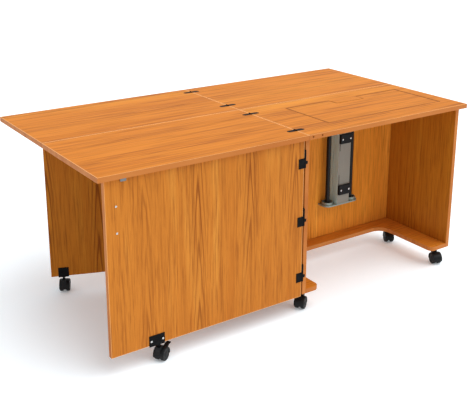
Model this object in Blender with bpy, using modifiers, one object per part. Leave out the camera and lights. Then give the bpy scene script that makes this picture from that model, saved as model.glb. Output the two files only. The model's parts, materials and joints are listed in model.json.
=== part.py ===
"""Fold-away sewing table on castors.

A carcass of panels carries four top leaves. A door and a rear gateleg swing out to the left and hold up
the two left leaves. The machine platform rides down a lift column on two guide rods.
X runs along the table, Y from front to back and Z up, in metres. The origin is on the floor, under the
middle of the open top.
"""

import math

import bmesh
import bpy
from mathutils import Matrix, Vector

# Table and boards
TABLE_LENGTH = 1.766
TABLE_DEPTH = 0.930
TABLE_HEIGHT = 0.762
BOARD = 0.019
EDGE_ROUND = 0.0012
GAP = 0.0003
SEAM = 0.0010

LEFT = -TABLE_LENGTH / 2
RIGHT = TABLE_LENGTH / 2
FRONT = -TABLE_DEPTH / 2
REAR = TABLE_DEPTH / 2
TOP_UNDER = TABLE_HEIGHT - BOARD
LENGTH_SEAM_Y = FRONT + 0.474

# Carcass
SIDE_LEFT = 0.0010
SIDE_RIGHT = RIGHT - 0.022
SIDE_FRONT = FRONT + 0.023
SIDE_REAR = FRONT + 0.441
BASE_UNDER = 0.084
BASE_TOP = BASE_UNDER + BOARD
REAR_PANEL_FRONT = FRONT + 0.410
KNEE_LEFT = 0.091
KNEE_RIGHT = 0.747
KNEE_REAR = FRONT + 0.346
KNEE_FILLET = 0.060
TIP_ROUND = 0.025

# Opening for the machine platform
OPENING_LEFT = 0.175
OPENING_RIGHT = 0.820
OPENING_FRONT = FRONT + 0.096
OPENING_REAR = FRONT + 0.384
PLATFORM_GAP = 0.004
TONGUE_HALF = 0.076
TONGUE_FRONT = FRONT + 0.332
KEY_HOLES = (0.019, 0.064)
KEY_HOLE_RADIUS = 0.004
KEY_HOLE_DEPTH = 0.012
KEY_HOLE_HEIGHT = TABLE_HEIGHT - 0.009

# Lift
LIFT_X = 0.497
LIFT_TRAVEL_BOTTOM = 0.272
COLUMN_WIDTH = 0.071
COLUMN_DEPTH = 0.058
COLUMN_TOP = 0.7365
COLUMN_GROOVE_DEPTH = 0.0015
COLUMN_GROOVE_HALF = 0.007
COLUMN_SLOT = (0.0055, 0.0090)
ROD_SPREAD = 0.068
ROD_RADIUS = 0.010
ROD_Y = REAR_PANEL_FRONT - 0.028
LUG_RADIUS = 0.032
FOOT_THICK = 0.006
CUP_RADIUS = 0.0260
CUP_BORE = 0.0225
CUP_RISE = 0.012
BLOCK_HEIGHTS = ((0.318, 0.363), (0.562, 0.605))
BLOCK_DEPTH = 0.012
SLOT_HEIGHTS = ((0.3635, 0.412), (0.525, 0.5615))
CARRIAGE_BOTTOM = 0.655
CARRIAGE_TOP = 0.735
CARRIAGE_BRIDGE = 0.012
ARM_THICK = 0.0065

# Door, hinged at the front left corner of the carcass
DOOR_AXIS = Vector((-0.003, FRONT + 0.0197, 0.0))
DOOR_EDGE = DOOR_AXIS.x - 0.0045
DOOR_LENGTH = 0.8455
DOOR_BOTTOM = 0.080
DOOR_TOP = TOP_UNDER - 0.0012
DOOR_HINGE_HEIGHTS = (0.147, 0.387, 0.627)
PULL_INSET = 0.042
PULL_HEIGHTS = (0.545, 0.642)
PULL_STAND = 0.027
PULL_OVERHANG = 0.015
PULL_POST_RADIUS = 0.0050
PULL_BAR_RADIUS = 0.0058
CATCH_START = 0.060
CATCH_SIZE = (0.022, 0.0045, 0.014)

# Rear gateleg, hinged at the rear left corner
GATELEG_AXIS = Vector((-0.004, FRONT + 0.462, 0.0))
GATELEG_EDGE = GATELEG_AXIS.x - 0.0057
GATELEG_LENGTH = 0.8188
GATELEG_ANGLE = math.radians(-20.5)
GATELEG_HINGE_HEIGHTS = (0.160, 0.600)

# Flag hinges of the door and the gateleg
FLAG_BARREL = 0.0035
FLAG_BORE = 0.0019
FLAG_PIN = 0.0015
FLAG_PLATE = 0.0018
FLAG_WIDTH = 0.032
FLAG_HEIGHT = 0.040
FLAG_RISE = 0.032

# Flush strap hinges across the left seam, two for each pair of leaves
STRAP_AXIS_HEIGHT = TABLE_HEIGHT + 0.0003
STRAP_LENGTH = 0.040
STRAP_WIDTH = 0.022
STRAP_THICK = 0.0020
STRAP_BARREL = 0.0028
STRAP_PIN = 0.0012
STRAP_BORE = 0.0016
FRONT_STRAPS = (FRONT + 0.087, FRONT + 0.390)
REAR_STRAPS = (FRONT + 0.563, FRONT + 0.866)

# Long hinge under the rear seam
DROP_AXIS_HEIGHT = TOP_UNDER - 0.003
DROP_START = 0.060
DROP_END = 0.820
DROP_KNUCKLES = 9
DROP_BARREL = 0.0028
DROP_REACH = 0.028
DROP_THICK = 0.0016

# The gateleg swings under the knuckles of the long hinge
GATELEG_TOP = DROP_AXIS_HEIGHT - DROP_BARREL - 0.0009

# Angles that carry the door's and the gateleg's castors
BRACKET_THICK = 0.0025
BRACKET_RISE = 0.040
BRACKET_FOOT_HALF = 0.018
DOOR_STEM_OFFSET = 0.012

# Twin-wheel hooded castors
WHEEL_RADIUS = 0.025
WHEEL_INNER = 0.0062
WHEEL_OUTER = 0.0215
TRAIL = 0.018
HOOD_INNER = 0.0266
HOOD_OUTER = 0.0290
NECK_TOP = 0.062
STEM_RADIUS = 0.005
STEM_BORE = 0.0053
AXLE_RADIUS = 0.003
AXLE_BORE = 0.0034
CASTOR_PLATE = 0.003

PARTS = bpy.data.collections.new("sewing_table")


def clear_scene():
    """Remove every object and show the part's own collection."""
    for item in list(bpy.data.objects):
        bpy.data.objects.remove(item, do_unlink=True)
    bpy.context.scene.collection.children.link(PARTS)


def make_material(name, color, roughness, metallic=0.0):
    """A plain Principled material."""
    material = bpy.data.materials.new(name)
    material.use_nodes = True
    shader = material.node_tree.nodes["Principled BSDF"]
    shader.inputs["Base Color"].default_value = (*color, 1.0)
    shader.inputs["Roughness"].default_value = roughness
    shader.inputs["Metallic"].default_value = metallic
    return material


def from_bmesh(name, shape):
    """Store a bmesh as a new object in the part's collection."""
    mesh = bpy.data.meshes.new(name)
    bmesh.ops.recalc_face_normals(shape, faces=shape.faces)
    shape.to_mesh(mesh)
    shape.free()
    item = bpy.data.objects.new(name, mesh)
    PARTS.objects.link(item)
    return item


def box(name, low, high, edge_round=0.0):
    """A box between two corners, with bevelled edges if a radius is given."""
    low = Vector(low)
    high = Vector(high)
    shape = bmesh.new()
    bmesh.ops.create_cube(shape, size=1.0)
    bmesh.ops.scale(shape, vec=high - low, verts=shape.verts)
    bmesh.ops.translate(shape, vec=(low + high) / 2, verts=shape.verts)
    item = from_bmesh(name, shape)
    if edge_round:
        round_edges(item, edge_round)
    return item


def round_edges(item, radius):
    """Bevel the sharp edges of an object."""
    bevel = item.modifiers.new("edge round", "BEVEL")
    bevel.width = radius
    bevel.segments = 1
    bevel.limit_method = "ANGLE"


def rod(name, start, end, radius, sides=16):
    """A capped cylinder between two points."""
    start = Vector(start)
    end = Vector(end)
    length = (end - start).length
    turn = (end - start).to_track_quat("Z", "Y").to_matrix().to_4x4()
    shape = bmesh.new()
    bmesh.ops.create_cone(
        shape, cap_ends=True, segments=sides, radius1=radius, radius2=radius, depth=length
    )
    bmesh.ops.transform(shape, matrix=Matrix.Translation((start + end) / 2) @ turn, verts=shape.verts)
    return from_bmesh(name, shape)


def arc(center, radius, start_degrees, end_degrees, steps):
    """Points along an arc, in order."""
    points = []
    for step in range(steps + 1):
        angle = math.radians(start_degrees + (end_degrees - start_degrees) * step / steps)
        points.append((center[0] + radius * math.cos(angle), center[1] + radius * math.sin(angle)))
    return points


def slab(name, outline, low, high):
    """A flat outline in X and Y, as thick as low to high along Z."""
    curve = bpy.data.curves.new(name, "CURVE")
    curve.dimensions = "2D"
    curve.fill_mode = "BOTH"
    curve.extrude = (high - low) / 2
    spline = curve.splines.new("POLY")
    spline.points.add(len(outline) - 1)
    for point, (x, y) in zip(spline.points, outline):
        point.co = (x, y, 0.0, 1.0)
    spline.use_cyclic_u = True
    guide = bpy.data.objects.new(name + "_outline", curve)
    PARTS.objects.link(guide)
    guide.location.z = (low + high) / 2
    bpy.context.view_layer.update()
    item = as_mesh(name, guide)
    item.data.transform(guide.matrix_world)
    bpy.data.objects.remove(guide, do_unlink=True)
    return item


def as_mesh(name, source):
    """The evaluated shape of an object as a new closed mesh object."""
    bpy.context.view_layer.update()
    evaluated = source.evaluated_get(bpy.context.evaluated_depsgraph_get())
    mesh = bpy.data.meshes.new_from_object(evaluated)
    shape = bmesh.new()
    shape.from_mesh(mesh)
    bmesh.ops.remove_doubles(shape, verts=shape.verts, dist=0.000005)
    bpy.data.meshes.remove(mesh)
    return from_bmesh(name, shape)


def combine(name, operation, first, others):
    """Apply one Boolean after another to the first object, then drop the operands."""
    for other in others:
        step = first.modifiers.new(operation.lower(), "BOOLEAN")
        step.operation = operation
        step.object = other
    item = as_mesh(name, first)
    for used in [first, *others]:
        bpy.data.objects.remove(used, do_unlink=True)
    item.name = name
    item.data.name = name
    return item


def fuse(name, pieces):
    """Join overlapping pieces into one solid; pieces that stand apart stay apart."""
    return combine(name, "UNION", pieces[0], pieces[1:])


def cut(item, cutters):
    """Cut shapes out of an object."""
    return combine(item.name, "DIFFERENCE", item, cutters)


def upright(item):
    """Turn an outline drawn in X and Y so that it stands in X and Z and is thick along Y."""
    item.data.transform(Matrix.Rotation(math.radians(90), 4, "X"))
    return item


def finish(item, material, smooth=True):
    """Give an object its material and its shading."""
    item.data.materials.clear()
    item.data.materials.append(material)
    if smooth:
        item.data.shade_smooth()
        item.data.set_sharp_from_angle(angle=math.radians(35))
    return item


def joint_empty(name, place, parent=None):
    """An empty on a joint's axis."""
    empty = bpy.data.objects.new(name, None)
    PARTS.objects.link(empty)
    empty.location = place
    empty.empty_display_size = 0.03
    bpy.context.view_layer.update()
    if parent:
        attach(parent, [empty])
    return empty


def attach(parent, items):
    """Parent objects without moving them."""
    bpy.context.view_layer.update()
    for item in items:
        item.parent = parent
        item.matrix_parent_inverse = parent.matrix_world.inverted()


# Leaves and platform


def strap_pocket(index, y, side):
    """Room for one flush strap and its knuckles; side is +1 to the right of the seam."""
    reach = side * (STRAP_LENGTH + GAP)
    half = STRAP_WIDTH / 2 + GAP
    turn = 90 if side < 0 else -90
    end = arc((reach - side * half, y), half, turn, turn + 180, 8)
    outline = end + [(-side * 0.004, y + side * half), (-side * 0.004, y - side * half)]
    floor = TABLE_HEIGHT - STRAP_THICK - GAP
    pocket = slab(f"strap_pocket_{index}_{side}", outline, floor, TABLE_HEIGHT + 0.01)
    trough = box(
        f"strap_trough_{index}_{side}",
        (-0.0036, y - half, STRAP_AXIS_HEIGHT - STRAP_BARREL - 2 * GAP),
        (0.0036, y + half, TABLE_HEIGHT + 0.01),
    )
    return [pocket, trough]


def drop_pocket(side):
    """Room under a board for one plate of the drop hinge; side is +1 behind the seam."""
    near = LENGTH_SEAM_Y - side * 0.002
    far = LENGTH_SEAM_Y + side * (DROP_REACH + GAP)
    return box(
        f"drop_pocket_{side}",
        (DROP_START - GAP, min(near, far), TOP_UNDER - 0.01),
        (DROP_END + GAP, max(near, far), TOP_UNDER + DROP_THICK + GAP),
    )


def leaf_board(name, low, high, straps, strap_side, extra=()):
    """One board of the top, cut for its hinges."""
    board = box(name, (*low, TOP_UNDER), (*high, TABLE_HEIGHT))
    cutters = list(extra)
    for index, y in enumerate(straps):
        cutters += strap_pocket(index, y, strap_side)
    board = cut(board, cutters)
    round_edges(board, EDGE_ROUND)
    return board


def make_tops(wood):
    """The four boards of the top and the machine platform."""
    half = SEAM / 2
    front_left = leaf_board(
        "front_left_leaf", (LEFT, FRONT), (-half, LENGTH_SEAM_Y - half), FRONT_STRAPS, -1
    )
    rear_left = leaf_board(
        "rear_left_leaf", (LEFT, LENGTH_SEAM_Y + half), (-half, REAR), REAR_STRAPS, -1
    )
    rear_right = leaf_board(
        "rear_right_leaf",
        (half, LENGTH_SEAM_Y + half),
        (RIGHT, REAR),
        REAR_STRAPS,
        1,
        [drop_pocket(1)],
    )
    opening = cut(
        box(
            "machine_opening",
            (OPENING_LEFT, OPENING_FRONT, TOP_UNDER - 0.01),
            (OPENING_RIGHT, OPENING_REAR, TABLE_HEIGHT + 0.01),
        ),
        [
            box(
                "tongue",
                (LIFT_X - TONGUE_HALF, TONGUE_FRONT, TOP_UNDER - 0.02),
                (LIFT_X + TONGUE_HALF, OPENING_REAR + 0.01, TABLE_HEIGHT + 0.02),
            )
        ],
    )
    key_holes = [
        rod(
            f"key_hole_{index}",
            (x, FRONT - 0.01, KEY_HOLE_HEIGHT),
            (x, FRONT + KEY_HOLE_DEPTH, KEY_HOLE_HEIGHT),
            KEY_HOLE_RADIUS,
            12,
        )
        for index, x in enumerate(KEY_HOLES)
    ]
    main_top = leaf_board(
        "main_top",
        (half, FRONT),
        (RIGHT, LENGTH_SEAM_Y - half),
        FRONT_STRAPS,
        1,
        [drop_pocket(-1), opening, *key_holes],
    )
    inset = PLATFORM_GAP
    platform = cut(
        box(
            "lift_platform",
            (OPENING_LEFT + inset, OPENING_FRONT + inset, TOP_UNDER),
            (OPENING_RIGHT - inset, OPENING_REAR - inset, TABLE_HEIGHT),
        ),
        [
            box(
                "tongue_notch",
                (LIFT_X - TONGUE_HALF - inset, TONGUE_FRONT - inset, TOP_UNDER - 0.01),
                (LIFT_X + TONGUE_HALF + inset, OPENING_REAR + 0.01, TABLE_HEIGHT + 0.01),
            )
        ],
    )
    round_edges(platform, EDGE_ROUND)
    boards = [front_left, rear_left, rear_right, main_top, platform]
    for board in boards:
        finish(board, wood)
    return boards


# Carcass


def make_carcass(wood):
    """Side panels, rear panel and the base plate."""
    panel_top = TOP_UNDER - GAP
    finish(
        box(
            "left_side_panel",
            (SIDE_LEFT, SIDE_FRONT, BASE_UNDER),
            (SIDE_LEFT + BOARD, SIDE_REAR, panel_top),
            EDGE_ROUND,
        ),
        wood,
    )
    finish(
        box(
            "right_side_panel",
            (SIDE_RIGHT - BOARD, SIDE_FRONT, BASE_UNDER),
            (SIDE_RIGHT, SIDE_REAR, panel_top),
            EDGE_ROUND,
        ),
        wood,
    )
    inner_left = SIDE_LEFT + BOARD + GAP
    inner_right = SIDE_RIGHT - BOARD - GAP
    finish(
        box(
            "rear_panel",
            (inner_left, REAR_PANEL_FRONT, BASE_TOP + GAP),
            (inner_right, REAR_PANEL_FRONT + BOARD, panel_top),
            EDGE_ROUND,
        ),
        wood,
    )
    outline = [(inner_left, SIDE_FRONT)]
    outline += arc((KNEE_LEFT - TIP_ROUND, SIDE_FRONT + TIP_ROUND), TIP_ROUND, -90, 0, 5)
    outline += arc((KNEE_LEFT + KNEE_FILLET, KNEE_REAR - KNEE_FILLET), KNEE_FILLET, 180, 90, 7)
    outline += arc((KNEE_RIGHT - KNEE_FILLET, KNEE_REAR - KNEE_FILLET), KNEE_FILLET, 90, 0, 7)
    outline += arc((KNEE_RIGHT + TIP_ROUND, SIDE_FRONT + TIP_ROUND), TIP_ROUND, 180, 270, 5)
    outline += [(inner_right, SIDE_FRONT), (inner_right, SIDE_REAR), (inner_left, SIDE_REAR)]
    base = slab("base_plate", outline, BASE_UNDER, BASE_TOP)
    round_edges(base, EDGE_ROUND)
    finish(base, wood)


# Lift


def make_lift(aluminium, steel, plastic):
    """Column, rods, blocks and foot on the carcass, and the carriage that rides the rods."""
    half = COLUMN_WIDTH / 2
    back = REAR_PANEL_FRONT - GAP
    face = back - COLUMN_DEPTH
    middle = (face + back) / 2
    column = box(
        "lift_column", (LIFT_X - half, face, LIFT_TRAVEL_BOTTOM + GAP), (LIFT_X + half, back, COLUMN_TOP)
    )
    slots = [
        box(
            f"column_slot_{index}",
            (LIFT_X - half + COLUMN_SLOT[0], face - 0.005, low),
            (LIFT_X - half + COLUMN_SLOT[1], face + 0.004, high),
        )
        for index, (low, high) in enumerate(SLOT_HEIGHTS)
    ]
    for side in (-1, 1):
        span = sorted((LIFT_X + side * (half - COLUMN_GROOVE_DEPTH), LIFT_X + side * (half + 0.01)))
        slots.append(
            box(
                f"column_groove_{side}",
                (span[0], middle - COLUMN_GROOVE_HALF, LIFT_TRAVEL_BOTTOM - 0.01),
                (span[1], middle + COLUMN_GROOVE_HALF, COLUMN_TOP + 0.01),
            )
        )
    finish(cut(column, slots), aluminium)

    for label, (low, high) in zip(("lower", "upper"), BLOCK_HEIGHTS):
        block = box(
            f"column_block_{label}",
            (LIFT_X - half + 0.002, face - GAP - BLOCK_DEPTH, low),
            (LIFT_X + half - 0.002, face - GAP, high),
            0.001,
        )
        finish(block, plastic)

    bosses = []
    wells = []
    for label, side in (("left", -1), ("right", 1)):
        x = LIFT_X + side * ROD_SPREAD
        guide = rod(
            f"guide_rod_{label}",
            (x, ROD_Y, LIFT_TRAVEL_BOTTOM + 0.003),
            (x, ROD_Y, COLUMN_TOP),
            ROD_RADIUS,
            20,
        )
        finish(guide, plastic)
        bosses.append(
            rod(
                f"boss_{side}",
                (x, ROD_Y, LIFT_TRAVEL_BOTTOM - FOOT_THICK),
                (x, ROD_Y, LIFT_TRAVEL_BOTTOM + CUP_RISE),
                CUP_RADIUS,
                24,
            )
        )
        wells.append(
            rod(
                f"well_{side}",
                (x, ROD_Y, LIFT_TRAVEL_BOTTOM + 0.002),
                (x, ROD_Y, LIFT_TRAVEL_BOTTOM + 0.020),
                CUP_BORE,
                24,
            )
        )
    wells.append(
        box(
            "column_seat",
            (LIFT_X - half - 0.0006, face - 0.001, LIFT_TRAVEL_BOTTOM),
            (LIFT_X + half + 0.0006, back + 0.01, LIFT_TRAVEL_BOTTOM + 0.020),
        )
    )
    plate = foot_plate(back)
    finish(cut(fuse("lift_foot", [plate, *bosses]), wells), steel)

    make_carriage(face, steel)


def foot_plate(back):
    """The plate under the column, with a rounded lug for each guide rod."""
    right_lug = LIFT_X + ROD_SPREAD
    left_lug = LIFT_X - ROD_SPREAD
    outline = arc((right_lug, ROD_Y), LUG_RADIUS, -90, 0, 6)
    outline += [(right_lug + LUG_RADIUS, back), (left_lug - LUG_RADIUS, back)]
    outline += arc((left_lug, ROD_Y), LUG_RADIUS, 180, 270, 6)
    return slab("foot_plate", outline, LIFT_TRAVEL_BOTTOM - FOOT_THICK, LIFT_TRAVEL_BOTTOM)


def make_carriage(face, steel):
    """The carriage, bored for the guide rods, and the arms under the platform."""
    inner = COLUMN_WIDTH / 2 + 0.004
    outer = ROD_SPREAD + 0.017
    bridge_back = face - BLOCK_DEPTH - 0.004
    front = bridge_back - CARRIAGE_BRIDGE
    back = ROD_Y + 0.015
    carriage = cut(
        box("lift_carriage", (LIFT_X - outer, front, CARRIAGE_BOTTOM), (LIFT_X + outer, back, CARRIAGE_TOP)),
        [
            box(
                "column_room",
                (LIFT_X - inner, bridge_back, CARRIAGE_BOTTOM - 0.01),
                (LIFT_X + inner, back + 0.01, CARRIAGE_TOP + 0.01),
            )
        ],
    )
    bores = []
    for side in (-1, 1):
        x = LIFT_X + side * ROD_SPREAD
        bores.append(
            rod(
                f"carriage_bore_{side}",
                (x, ROD_Y, CARRIAGE_BOTTOM - 0.01),
                (x, ROD_Y, CARRIAGE_TOP + 0.01),
                ROD_RADIUS + 0.0003,
                20,
            )
        )
    finish(cut(carriage, bores), steel)
    arms = []
    for side in (-1, 1):
        x = LIFT_X + side * (TONGUE_HALF - 0.010)
        arms.append(
            box(
                f"arm_{side}",
                (x - 0.015, OPENING_FRONT + 0.020, TOP_UNDER - ARM_THICK),
                (x + 0.015, front + 0.030, TOP_UNDER - GAP),
            )
        )
    arms.append(
        box(
            "arm_tie",
            (LIFT_X - 0.180, OPENING_FRONT + 0.050, TOP_UNDER - ARM_THICK + 0.0005),
            (LIFT_X + 0.180, OPENING_FRONT + 0.080, TOP_UNDER - GAP * 1.5),
        )
    )
    finish(fuse("platform_arms", arms), steel)


# Hinges


def make_strap(name, y, black):
    """One flush strap hinge: the right leaf carries the pin, and the left leaf turns on it."""
    half = STRAP_WIDTH / 2
    knuckle_half = STRAP_WIDTH / 6
    floor = TABLE_HEIGHT - STRAP_THICK
    leaves = []
    for label, side in (("right", 1), ("left", -1)):
        turn = -90 * side
        end = arc((side * (STRAP_LENGTH - half), y), half, turn, turn + 180, 8)
        outline = end + [(side * 0.0032, y + side * half), (side * 0.0032, y - side * half)]
        pieces = [slab(f"{name}_{label}_plate", outline, floor, TABLE_HEIGHT)]
        spans = [(-knuckle_half, knuckle_half)]
        if side > 0:
            spans = [(-half, -knuckle_half - GAP), (knuckle_half + GAP, half)]
        for low, high in spans:
            ends = ((0, y + low, STRAP_AXIS_HEIGHT), (0, y + high, STRAP_AXIS_HEIGHT))
            pieces.append(rod(f"{name}_{label}_knuckle_{low}", *ends, STRAP_BARREL, 12))
            web = sorted((side * 0.0010, side * 0.0050))
            pieces.append(
                box(
                    f"{name}_{label}_web_{low}",
                    (web[0], y + low + 0.0001, floor + 0.0001),
                    (web[1], y + high - 0.0001, TABLE_HEIGHT - 0.0001),
                )
            )
        pin_ends = ((0, y - half + 0.001, STRAP_AXIS_HEIGHT), (0, y + half - 0.001, STRAP_AXIS_HEIGHT))
        bore = rod(f"{name}_{label}_line", *pin_ends, STRAP_PIN if side > 0 else STRAP_BORE, 12)
        if side > 0:
            leaf = fuse(f"{name}_{label}", [*pieces, bore])
        else:
            leaf = cut(fuse(f"{name}_{label}", pieces), [bore])
        leaves.append(finish(leaf, black))
    return leaves


def make_drop_hinge(black):
    """The long hinge under the rear seam: the front leaf carries the pin, and the rear leaf turns on it."""
    leaves = []
    pitch = (DROP_END - DROP_START) / DROP_KNUCKLES
    for label, side in (("front", -1), ("rear", 1)):
        reach = sorted((LENGTH_SEAM_Y + side * 0.0014, LENGTH_SEAM_Y + side * DROP_REACH))
        pieces = [
            box(
                f"drop_{label}_plate",
                (DROP_START, reach[0], TOP_UNDER),
                (DROP_END, reach[1], TOP_UNDER + DROP_THICK),
            )
        ]
        bores = []
        first = 0 if side < 0 else 1
        for index in range(first, DROP_KNUCKLES, 2):
            low = DROP_START + pitch * index + GAP
            high = low + pitch - 2 * GAP
            ends = ((low, LENGTH_SEAM_Y, DROP_AXIS_HEIGHT), (high, LENGTH_SEAM_Y, DROP_AXIS_HEIGHT))
            pieces.append(rod(f"drop_{label}_knuckle_{index}", *ends, DROP_BARREL, 12))
            web = sorted((LENGTH_SEAM_Y + side * 0.0008, LENGTH_SEAM_Y + side * 0.0026))
            pieces.append(
                box(
                    f"drop_{label}_web_{index}",
                    (low + 0.0001, web[0], DROP_AXIS_HEIGHT),
                    (high - 0.0001, web[1], TOP_UNDER + DROP_THICK - 0.0002),
                )
            )
        radius = STRAP_PIN if side < 0 else STRAP_BORE
        inset = 0.001
        line = rod(
            f"drop_{label}_line",
            (DROP_START + inset, LENGTH_SEAM_Y, DROP_AXIS_HEIGHT),
            (DROP_END - inset, LENGTH_SEAM_Y, DROP_AXIS_HEIGHT),
            radius,
            12,
        )
        if side < 0:
            leaf = fuse(f"drop_hinge_{label}", [*pieces, line])
        else:
            leaf = cut(fuse(f"drop_hinge_{label}", pieces), [line])
        leaves.append(finish(leaf, black))
    return leaves


def make_flag_hinge(name, axis, low, plate_face, carcass_run, black):
    """A flag hinge on an upright axis.

    The moving flag lies along -X from the axis with its back at plate_face. The fixed flag, with the pin,
    runs along Y on the carcass side between the two values of carcass_run.
    """
    high = low + FLAG_HEIGHT
    top = high + FLAG_RISE
    plate = box(
        f"{name}_plate",
        (axis.x - FLAG_WIDTH, plate_face - FLAG_PLATE, low),
        (axis.x - 0.0022, plate_face, high),
    )
    knuckle = rod(f"{name}_knuckle", (axis.x, axis.y, low), (axis.x, axis.y, high), FLAG_BARREL, 14)
    bore = rod(
        f"{name}_bore", (axis.x, axis.y, low - 0.005), (axis.x, axis.y, high + 0.005), FLAG_BORE, 14
    )
    flag = finish(cut(fuse(f"{name}_flag", [plate, knuckle]), [bore]), black)
    side = SIDE_LEFT - GAP
    seat_plate = box(
        f"{name}_seat_plate",
        (side - FLAG_PLATE, carcass_run[0], high + GAP + 0.0002),
        (side, carcass_run[1], top - 0.0002),
    )
    seat_knuckle = rod(
        f"{name}_seat_knuckle", (axis.x, axis.y, high + GAP), (axis.x, axis.y, top), FLAG_BARREL, 14
    )
    pin = rod(f"{name}_pin", (axis.x, axis.y, low), (axis.x, axis.y, top - 0.001), FLAG_PIN, 14)
    finish(fuse(f"{name}_seat", [seat_plate, seat_knuckle, pin]), black)
    return flag


# Castors


def castor_bracket(name, x, width, stem_x, face, board_back, black):
    """An angle under a board's lower edge; its upright leg, centred on x, lies on the board's face."""
    leg = box(
        f"{name}_leg",
        (x - width / 2, face - GAP - BRACKET_THICK, DOOR_BOTTOM - GAP - CASTOR_PLATE),
        (x + width / 2, face - GAP, DOOR_BOTTOM + BRACKET_RISE),
        0.0008,
    )
    foot = box(
        f"{name}_foot",
        (stem_x - BRACKET_FOOT_HALF, face - GAP - 0.0010, DOOR_BOTTOM - GAP - CASTOR_PLATE),
        (stem_x + BRACKET_FOOT_HALF, board_back, DOOR_BOTTOM - GAP),
    )
    bore = rod(
        f"{name}_bore",
        (stem_x, (face + board_back) / 2, DOOR_BOTTOM - 0.02),
        (stem_x, (face + board_back) / 2, DOOR_BOTTOM + 0.01),
        STEM_BORE,
    )
    return finish(cut(fuse(name, [leg, foot]), [bore]), black)


def make_castor(name, place, stem_top, trail_degrees, parent, black, tyre, brake=False):
    """A hooded twin-wheel castor: place is its swivel axis, trail_degrees the way its wheels trail."""
    center = (TRAIL, WHEEL_RADIUS)
    shell_outline = arc(center, HOOD_OUTER, 15, 190, 12) + arc(center, HOOD_INNER, 190, 15, 12)
    shell = upright(slab(f"{name}_shell", shell_outline, -WHEEL_OUTER, WHEEL_OUTER))
    web_outline = arc(center, HOOD_INNER + 0.0010, 5, 195, 10) + arc(center, 0.010, 225, 315, 4)
    web = upright(slab(f"{name}_web", web_outline, -WHEEL_INNER + 0.0012, WHEEL_INNER - 0.0012))
    neck_outline = arc(center, HOOD_OUTER - 0.0012, 112, 168, 5)
    neck_outline += [(-0.0110, NECK_TOP - 0.010), (-0.0080, NECK_TOP), (0.0080, NECK_TOP)]
    neck = upright(slab(f"{name}_neck", neck_outline, -0.0100, 0.0100))
    stem = rod(f"{name}_stem", (0, 0, NECK_TOP - 0.003), (0, 0, stem_top), STEM_RADIUS)
    hood = fuse(f"{name}_hood", [shell, web, neck, stem])
    bore = rod(f"{name}_bore", (TRAIL, -0.03, WHEEL_RADIUS), (TRAIL, 0.03, WHEEL_RADIUS), AXLE_BORE)
    pieces = [finish(cut(hood, [bore]), black)]

    axle_ends = ((TRAIL, -0.0190, WHEEL_RADIUS), (TRAIL, 0.0190, WHEEL_RADIUS))
    wheels = [rod(f"{name}_axle", *axle_ends, AXLE_RADIUS)]
    for side in (-1, 1):
        tread = rod(
            f"{name}_wheel_{side}",
            (TRAIL, side * WHEEL_INNER, WHEEL_RADIUS),
            (TRAIL, side * WHEEL_OUTER, WHEEL_RADIUS),
            WHEEL_RADIUS,
            24,
        )
        wheels.append(tread)
    pair = finish(fuse(f"{name}_wheels", wheels), tyre)
    if brake:
        tab = box(f"{name}_brake_tab", (0.034, -0.0205, 0.0540), (0.058, -0.0025, 0.0565), 0.0006)
        leg = box(f"{name}_brake_leg", (0.036, -0.0190, 0.0500), (0.041, -0.0040, 0.0550))
        pieces.append(finish(fuse(f"{name}_brake", [tab, leg]), black))

    move = Matrix.Translation(place) @ Matrix.Rotation(math.radians(trail_degrees), 4, "Z")
    for piece in [*pieces, pair]:
        piece.data.transform(move)
    swivel = joint_empty(f"{name}_swivel", place, parent)
    spin = joint_empty(f"{name}_spin", move @ Vector((TRAIL, 0, WHEEL_RADIUS)), swivel)
    attach(swivel, pieces)
    attach(spin, [pair])


# Door and gateleg


def make_door(wood, black, zinc, tyre):
    """The front door with its pull, catch, hinges and castor."""
    face = DOOR_AXIS.y + 0.0003
    back = face + BOARD
    left_edge = DOOR_EDGE - DOOR_LENGTH
    board = box("front_door", (left_edge, face, DOOR_BOTTOM), (DOOR_EDGE, back, DOOR_TOP), EDGE_ROUND)
    finish(board, wood)
    flags = [
        make_flag_hinge(
            f"door_hinge_{label}",
            DOOR_AXIS,
            height,
            face - GAP,
            (DOOR_AXIS.y, SIDE_FRONT + 0.035),
            black,
        )
        for label, height in zip(("low", "middle", "high"), DOOR_HINGE_HEIGHTS)
    ]
    pull = make_pull(left_edge + PULL_INSET, back, zinc)
    catch_left = left_edge + CATCH_START
    catch = box(
        "door_catch",
        (catch_left, face - GAP - CATCH_SIZE[1], DOOR_TOP - CATCH_SIZE[2]),
        (catch_left + CATCH_SIZE[0], face - GAP, DOOR_TOP),
        0.0006,
    )
    finish(catch, zinc)

    bracket_x = left_edge + 0.182
    castor_x = bracket_x + DOOR_STEM_OFFSET
    bracket = castor_bracket("door_castor_bracket", bracket_x, 0.064, castor_x, face, back, black)
    pivot = joint_empty("door_axis", DOOR_AXIS)
    attach(pivot, [board, *flags, pull, catch, bracket])
    place = Vector((castor_x, (face + back) / 2, 0.0))
    make_castor("door_castor", place, DOOR_BOTTOM - 2 * GAP, 32, pivot, black, tyre, True)


def make_pull(x, back, zinc):
    """The bar pull on two posts behind the door."""
    bar_y = back + PULL_STAND
    low, high = PULL_HEIGHTS
    bar_ends = ((x, bar_y, low - PULL_OVERHANG), (x, bar_y, high + PULL_OVERHANG))
    pieces = []
    for height in PULL_HEIGHTS:
        ends = ((x, back + GAP, height), (x, bar_y + 0.003, height))
        pieces.append(rod(f"pull_post_{height}", *ends, PULL_POST_RADIUS, 14))
    pieces.append(rod("pull_bar", *bar_ends, PULL_BAR_RADIUS, 14))
    return finish(fuse("door_pull", pieces), zinc)


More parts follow.
